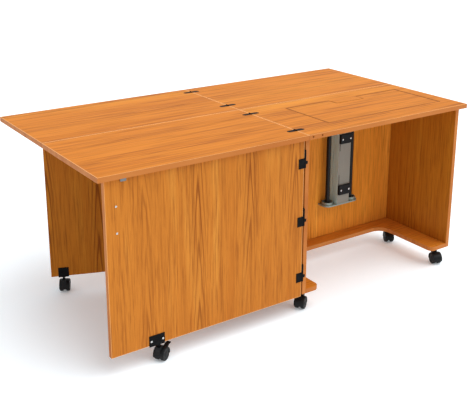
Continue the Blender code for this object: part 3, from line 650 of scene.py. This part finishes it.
def make_hood(trail, stem_top):
    """A barrel-shaped hood with its web, neck, stem and collar, with the stem on the Z axis."""
    axle = Vector((trail, 0.0, WHEEL_RADIUS))
    steps = [index / 6 for index in range(-6, 7)]
    outer = [(HOOD_HALF * step, HOOD_OUTSIDE - HOOD_CROWN * abs(step) ** 3) for step in steps]
    edge = [(HOOD_HALF + 0.0002, 0.0268), (HOOD_HALF + 0.0002, 0.0260)]
    loop = outer + edge + [(HOOD_HALF, HOOD_INSIDE), (-HOOD_HALF, HOOD_INSIDE)]
    loop += [(-offset, radius) for offset, radius in reversed(edge)]
    shell = sweep(loop, range(-14, 197, 6), axle)
    web_outer = HOOD_INSIDE + 0.0008
    web = sweep(
        [(-WEB_HALF, WEB_INNER), (WEB_HALF, WEB_INNER), (WEB_HALF, web_outer), (-WEB_HALF, web_outer)],
        range(-10, 191, 10),
        axle,
    )
    outline = []
    for angle in range(104, 171, 6):
        turn = math.radians(angle)
        outline.append((axle.x + SEAT_RADIUS * math.cos(turn), axle.z + SEAT_RADIUS * math.sin(turn)))
    outline += [(-0.0108, 0.0520), (-0.0085, 0.0618), (0.0085, 0.0618), (0.0125, 0.0570)]
    neck = prism(outline, -NECK_HALF, NECK_HALF, 0.0022)
    hood = boolean(boolean(shell, web, "UNION"), neck, "UNION")
    under = stem_top - STEM_INSET
    stem = lathe(
        (
            (0.0, 0.0600),
            (0.0070, 0.0600),
            (0.0070, 0.0634),
            (STEM_RADIUS, 0.0640),
            (STEM_RADIUS, under - 0.0046),
            (COLLAR_RADIUS - 0.0004, under - 0.0040),
            (COLLAR_RADIUS, under - 0.0008),
            (COLLAR_RADIUS - 0.0004, under - 0.0004),
            (STEM_RADIUS, under - 0.0004),
            (STEM_RADIUS, stem_top),
            (0.0, stem_top),
        ),
        24,
    )
    return hood, stem


def make_wheel_pair(trail):
    """Two wheels with rounded treads, a recessed disc and a hub cap, on one axle."""
    inner, outer = 0.0062, 0.0213
    profile = (
        (0.0, inner),
        (0.0236, inner),
        (0.0247, inner + 0.0008),
        (WHEEL_RADIUS, inner + 0.0024),
        (WHEEL_RADIUS, outer - 0.0042),
        (0.0246, outer - 0.0022),
        (0.0236, outer - 0.0008),
        (0.0222, outer - 0.0001),
        (0.0204, outer),
        (0.0194, outer - 0.0004),
        (0.0188, outer - 0.0014),
        (0.0176, outer - 0.0016),
        (0.0098, outer - 0.0016),
        (0.0090, outer - 0.0010),
        (0.0084, outer - 0.0002),
        (0.0050, outer + 0.0001),
        (0.0, outer + 0.0002),
    )
    tread = lathe(profile, 48)
    pin_end = inner + 0.001
    pin = lathe(((0.0, -pin_end), (AXLE_RADIUS, -pin_end), (AXLE_RADIUS, pin_end), (0.0, pin_end)), 16)
    place = Matrix.Translation((trail, 0.0, WHEEL_RADIUS))
    pair = gather(
        [
            (tread, place @ Matrix.Rotation(math.radians(-90), 4, "X")),
            (tread, place @ Matrix.Rotation(math.radians(90), 4, "X")),
            (pin, place @ Matrix.Rotation(math.radians(90), 4, "X")),
        ]
    )
    tread.free()
    pin.free()
    return pair


def make_pedal():
    """The parts of the brake pedal: the plate and the ribs across it."""
    parts = [prism(PEDAL_OUTLINE, -0.0203, -0.0027, 0.0006)]
    for start in RIB_STARTS:
        outline = [(start, 0.0555), (start + 0.0015, 0.0555), (start + 0.00075, 0.0565)]
        parts.append(prism(outline, -0.0190, -0.0040, 0.0001, 1))
    return parts


for castor in CASTORS:
    name = castor + "_castor"
    pivot = Vector(joints[name + "_swivel"]["pos_m"])
    axle = Vector(joints[name + "_spin"]["pos_m"])
    reach = Vector((axle.x - pivot.x, axle.y - pivot.y, 0.0))
    turn = Matrix.Rotation(math.atan2(reach.y, reach.x), 4, "Z")
    heading = Matrix.Translation((pivot.x, pivot.y, 0.0)) @ turn
    stem_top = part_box(name + "_hood")[1].z
    hood, stem = make_hood(reach.length, stem_top)
    bmesh.ops.transform(hood, matrix=heading, verts=hood.verts)
    bmesh.ops.transform(stem, matrix=heading, verts=stem.verts)
    hood_piece = store(name + "_dome", hood, black_plastic, name, 40.0)
    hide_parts(name + "_hood")
    store(name + "_stem", stem, black_enamel, name)
    wheels = make_wheel_pair(reach.length)
    bmesh.ops.transform(wheels, matrix=heading, verts=wheels.verts)
    wheels_piece = store(name + "_twin_wheels", wheels, tyre_plastic, name + "_wheels", 40.0)
    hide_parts(name + "_wheels")
    if castor == "door":
        pedal = gather([(part, heading) for part in make_pedal()])
        pedal_piece = store("door_castor_pedal", pedal, black_plastic, name)
        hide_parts("door_castor_brake")


# Screws

FORWARD = -Y_AXIS
UP = Z_AXIS
DOWN = -Z_AXIS

# Head radii
HINGE_SCREW = 0.0030
STRAP_SCREW = 0.0034
PLATE_SCREW = 0.0034
PULL_SCREW = 0.0042
BRACKET_SCREW = 0.0044
BLOCK_SCREW = 0.0052

# Three screws on a hinge flag: how far from the pin or the flag's end, and how high above its lower edge
DOOR_FLAG_SCREWS = ((0.0235, 0.007), (0.0085, 0.020), (0.0235, 0.033))
GATE_FLAG_SCREWS = ((-0.0085, 0.007), (-0.0235, 0.020), (-0.0085, 0.033))
# How far a flag's front face stands before the door's front and before the gateleg's hinge axis
DOOR_FLAG_FRONT = 0.0021
GATE_FLAG_FRONT = 0.0018


def middle(node):
    """The middle of a node's box."""
    low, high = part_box(node)
    return (low + high) / 2


block_spots = []
for block in ("column_block_lower", "column_block_upper"):
    center = middle(block)
    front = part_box(block)[0].y
    for side in (-1, 1):
        block_spots.append((Vector((center.x + side * 0.023, front, center.z)), FORWARD))
screws("lift_block_screws", "carcass", screw_nickel, block_spots, BLOCK_SCREW)

strap_bodies = {
    "front_strap_0": ("front_left_leaf", "carcass"),
    "front_strap_1": ("front_left_leaf", "carcass"),
    "rear_strap_0": ("rear_left_leaf", "rear_right_leaf"),
    "rear_strap_1": ("rear_left_leaf", "rear_right_leaf"),
}
for strap, bodies in strap_bodies.items():
    for side, label, body in ((-1, "left", bodies[0]), (1, "right", bodies[1])):
        center = middle(f"{strap}_{label}")
        spots = [(Vector((side * reach, center.y, TOP_HEIGHT)), UP) for reach in (0.0150, 0.0310)]
        screws(f"{strap}_{label}_screws", body, black_enamel, spots, STRAP_SCREW, FLAT_HEAD)

door_flag_spots = []
for label in ("low", "middle", "high"):
    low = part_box(f"door_hinge_{label}_flag")[0]
    for x_offset, z_offset in DOOR_FLAG_SCREWS:
        spot = Vector((low.x + x_offset, door_low.y - DOOR_FLAG_FRONT, low.z + z_offset))
        door_flag_spots.append((spot, FORWARD))
screws("door_hinge_screws", "front_door", black_enamel, door_flag_spots, HINGE_SCREW, FLAT_HEAD)

gate_turn = Matrix.Translation(GATELEG_AXIS) @ Matrix.Rotation(GATELEG_ANGLE, 4, "Z")
gate_turn = gate_turn @ Matrix.Translation(-GATELEG_AXIS)
gate_forward = gate_turn.to_3x3() @ FORWARD
gate_spots = []
for label in ("low", "high"):
    low_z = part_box(f"gateleg_hinge_{label}_flag")[0].z
    for x_offset, z_offset in GATE_FLAG_SCREWS:
        spot = Vector((GATELEG_AXIS.x + x_offset, GATELEG_AXIS.y - GATE_FLAG_FRONT, low_z + z_offset))
        gate_spots.append((gate_turn @ spot, gate_forward))
screws("gateleg_hinge_screws", "rear_gateleg", black_enamel, gate_spots, HINGE_SCREW, FLAT_HEAD)

bracket = middle("door_castor_bracket")
bracket_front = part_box("door_castor_bracket")[0].y
bracket_spots = [
    (Vector((bracket.x + x_offset, bracket_front + 0.0001, door_low.z + 0.018)), FORWARD)
    for x_offset in (-0.0235, 0.0235)
]
screws("door_bracket_screws", "front_door", screw_nickel, bracket_spots, BRACKET_SCREW)

pull = middle("door_pull")
pull_spots = [
    (Vector((pull.x, door_low.y + 0.0004, pull.z + z_offset)), FORWARD) for z_offset in (-0.0485, 0.0485)
]
screws("door_pull_screws", "front_door", screw_nickel, pull_spots, PULL_SCREW)

drop_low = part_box("drop_hinge_front")[0]
drop_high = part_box("drop_hinge_rear")[1]
for name, body, y in (
    ("drop_hinge_front_screws", "carcass", drop_low.y + 0.010),
    ("drop_hinge_rear_screws", "rear_right_leaf", drop_high.y - 0.010),
):
    spots = [
        (Vector((drop_low.x + 0.020 + 0.090 * index, y, TOP_UNDER + 0.0004)), DOWN) for index in range(9)
    ]
    screws(name, body, black_enamel, spots, HINGE_SCREW)

for castor in BASE_CASTORS:
    low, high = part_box(castor + "_castor_plate")
    spots = [
        (Vector((x, y, low.z + 0.0002)), DOWN)
        for x in (low.x + 0.0055, high.x - 0.0055)
        for y in (low.y + 0.0055, high.y - 0.0055)
    ]
    screws(castor + "_plate_screws", "carcass", screw_nickel, spots, PLATE_SCREW)

# Small black stops beside the door hinges, on the front edge of the left side panel
stop_parts = []
side_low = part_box("left_side_panel")[0]
for label in ("low", "middle", "high"):
    flag = middle(f"door_hinge_{label}_flag")
    stop = prism([(0.0, -0.0075), (0.0095, -0.0055), (0.0095, 0.0055), (0.0, 0.0075)], -0.0008, 0.0, 0.0003)
    place = Vector((side_low.x + 0.0014, side_low.y - 0.0002, flag.z))
    stop_parts.append((stop, Matrix.Translation(place)))
store("door_hinge_stops", gather(stop_parts), black_enamel, "carcass")

# Bracket that holds the guide rods' upper ends under the tongue
HEAD_MARGIN = 0.020
HEAD_GAP = 0.0006
rod_left = middle("guide_rod_left")
rod_right = middle("guide_rod_right")
rod_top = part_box("guide_rod_left")[1].z
panel_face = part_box("rear_panel")[0].y - HEAD_GAP


def corner_arc(center, first_angle):
    """A quarter circle at HEAD_MARGIN around a rod, as (x, y) points."""
    angles = [math.radians(first_angle + 15 * index) for index in range(7)]
    return [
        (center.x + HEAD_MARGIN * math.cos(angle), rod_left.y + HEAD_MARGIN * math.sin(angle))
        for angle in angles
    ]


outline = corner_arc(rod_right, -90)
outline += [(rod_right.x + HEAD_MARGIN, panel_face), (rod_left.x - HEAD_MARGIN, panel_face)]
outline += corner_arc(rod_left, 180)
plate = bmesh.new()
lower_ring = [plate.verts.new((x, y, rod_top + 0.0004)) for x, y in outline]
upper_ring = [plate.verts.new((x, y, TOP_UNDER - HEAD_GAP)) for x, y in outline]
plate.faces.new(list(reversed(lower_ring)))
plate.faces.new(upper_ring)
wall(plate, lower_ring, upper_ring)
store("lift_head_bracket", plate, zinc, "carcass")

# Stage, in metres and degrees

FLOOR_SIZE = 60.0
FLOOR_COLOR = (0.905, 0.965, 1.0, 1.0)
FLOOR_GLOW = 0.16
WORLD_COLOR = (0.93, 0.97, 1.0, 1.0)
WORLD_STRENGTH = 0.78
SUN_STRENGTH = 1.95
SUN_ANGLE = 60.0
SUN_TRAVEL = Vector((-0.40, 0.50, -1.08))
CAMERA_PLACE = (-1.947, -2.823, 1.649)
CAMERA_PITCH = -16.57
CAMERA_HEADING = -34.10
CAMERA_LENS = 64.3
CAMERA_SHIFT = -0.128


def make_stage():
    """A pale floor, soft light and the camera."""
    bpy.ops.mesh.primitive_plane_add(size=FLOOR_SIZE, location=(0.0, 0.0, 0.0))
    floor = bpy.context.object
    floor.name = "studio_floor"
    shader = Shader("pale_floor")
    shader.surface.inputs["Base Color"].default_value = FLOOR_COLOR
    shader.surface.inputs["Roughness"].default_value = 0.9
    shader.surface.inputs["Specular IOR Level"].default_value = 0.1
    shader.surface.inputs["Emission Color"].default_value = (1.0, 1.0, 1.0, 1.0)
    shader.surface.inputs["Emission Strength"].default_value = FLOOR_GLOW
    floor.data.materials.append(shader.material)

    world = bpy.data.worlds.new("studio")
    world.use_nodes = True
    background = world.node_tree.nodes["Background"]
    background.inputs["Color"].default_value = WORLD_COLOR
    background.inputs["Strength"].default_value = WORLD_STRENGTH
    bpy.context.scene.world = world

    sun = bpy.data.objects.new("soft_sun", bpy.data.lights.new("soft_sun", "SUN"))
    sun.data.energy = SUN_STRENGTH
    sun.data.angle = math.radians(SUN_ANGLE)
    sun.rotation_euler = SUN_TRAVEL.to_track_quat("-Z", "Y").to_euler()
    bpy.context.scene.collection.objects.link(sun)

    camera = bpy.data.objects.new("camera", bpy.data.cameras.new("camera"))
    camera.data.sensor_width = 36.0
    camera.data.lens = CAMERA_LENS
    camera.data.shift_y = CAMERA_SHIFT
    camera.location = CAMERA_PLACE
    camera.rotation_euler = (math.radians(90.0 + CAMERA_PITCH), 0.0, math.radians(CAMERA_HEADING))
    bpy.context.scene.collection.objects.link(camera)
    bpy.context.scene.camera = camera
    bpy.context.scene.view_settings.view_transform = "Standard"


make_stage()
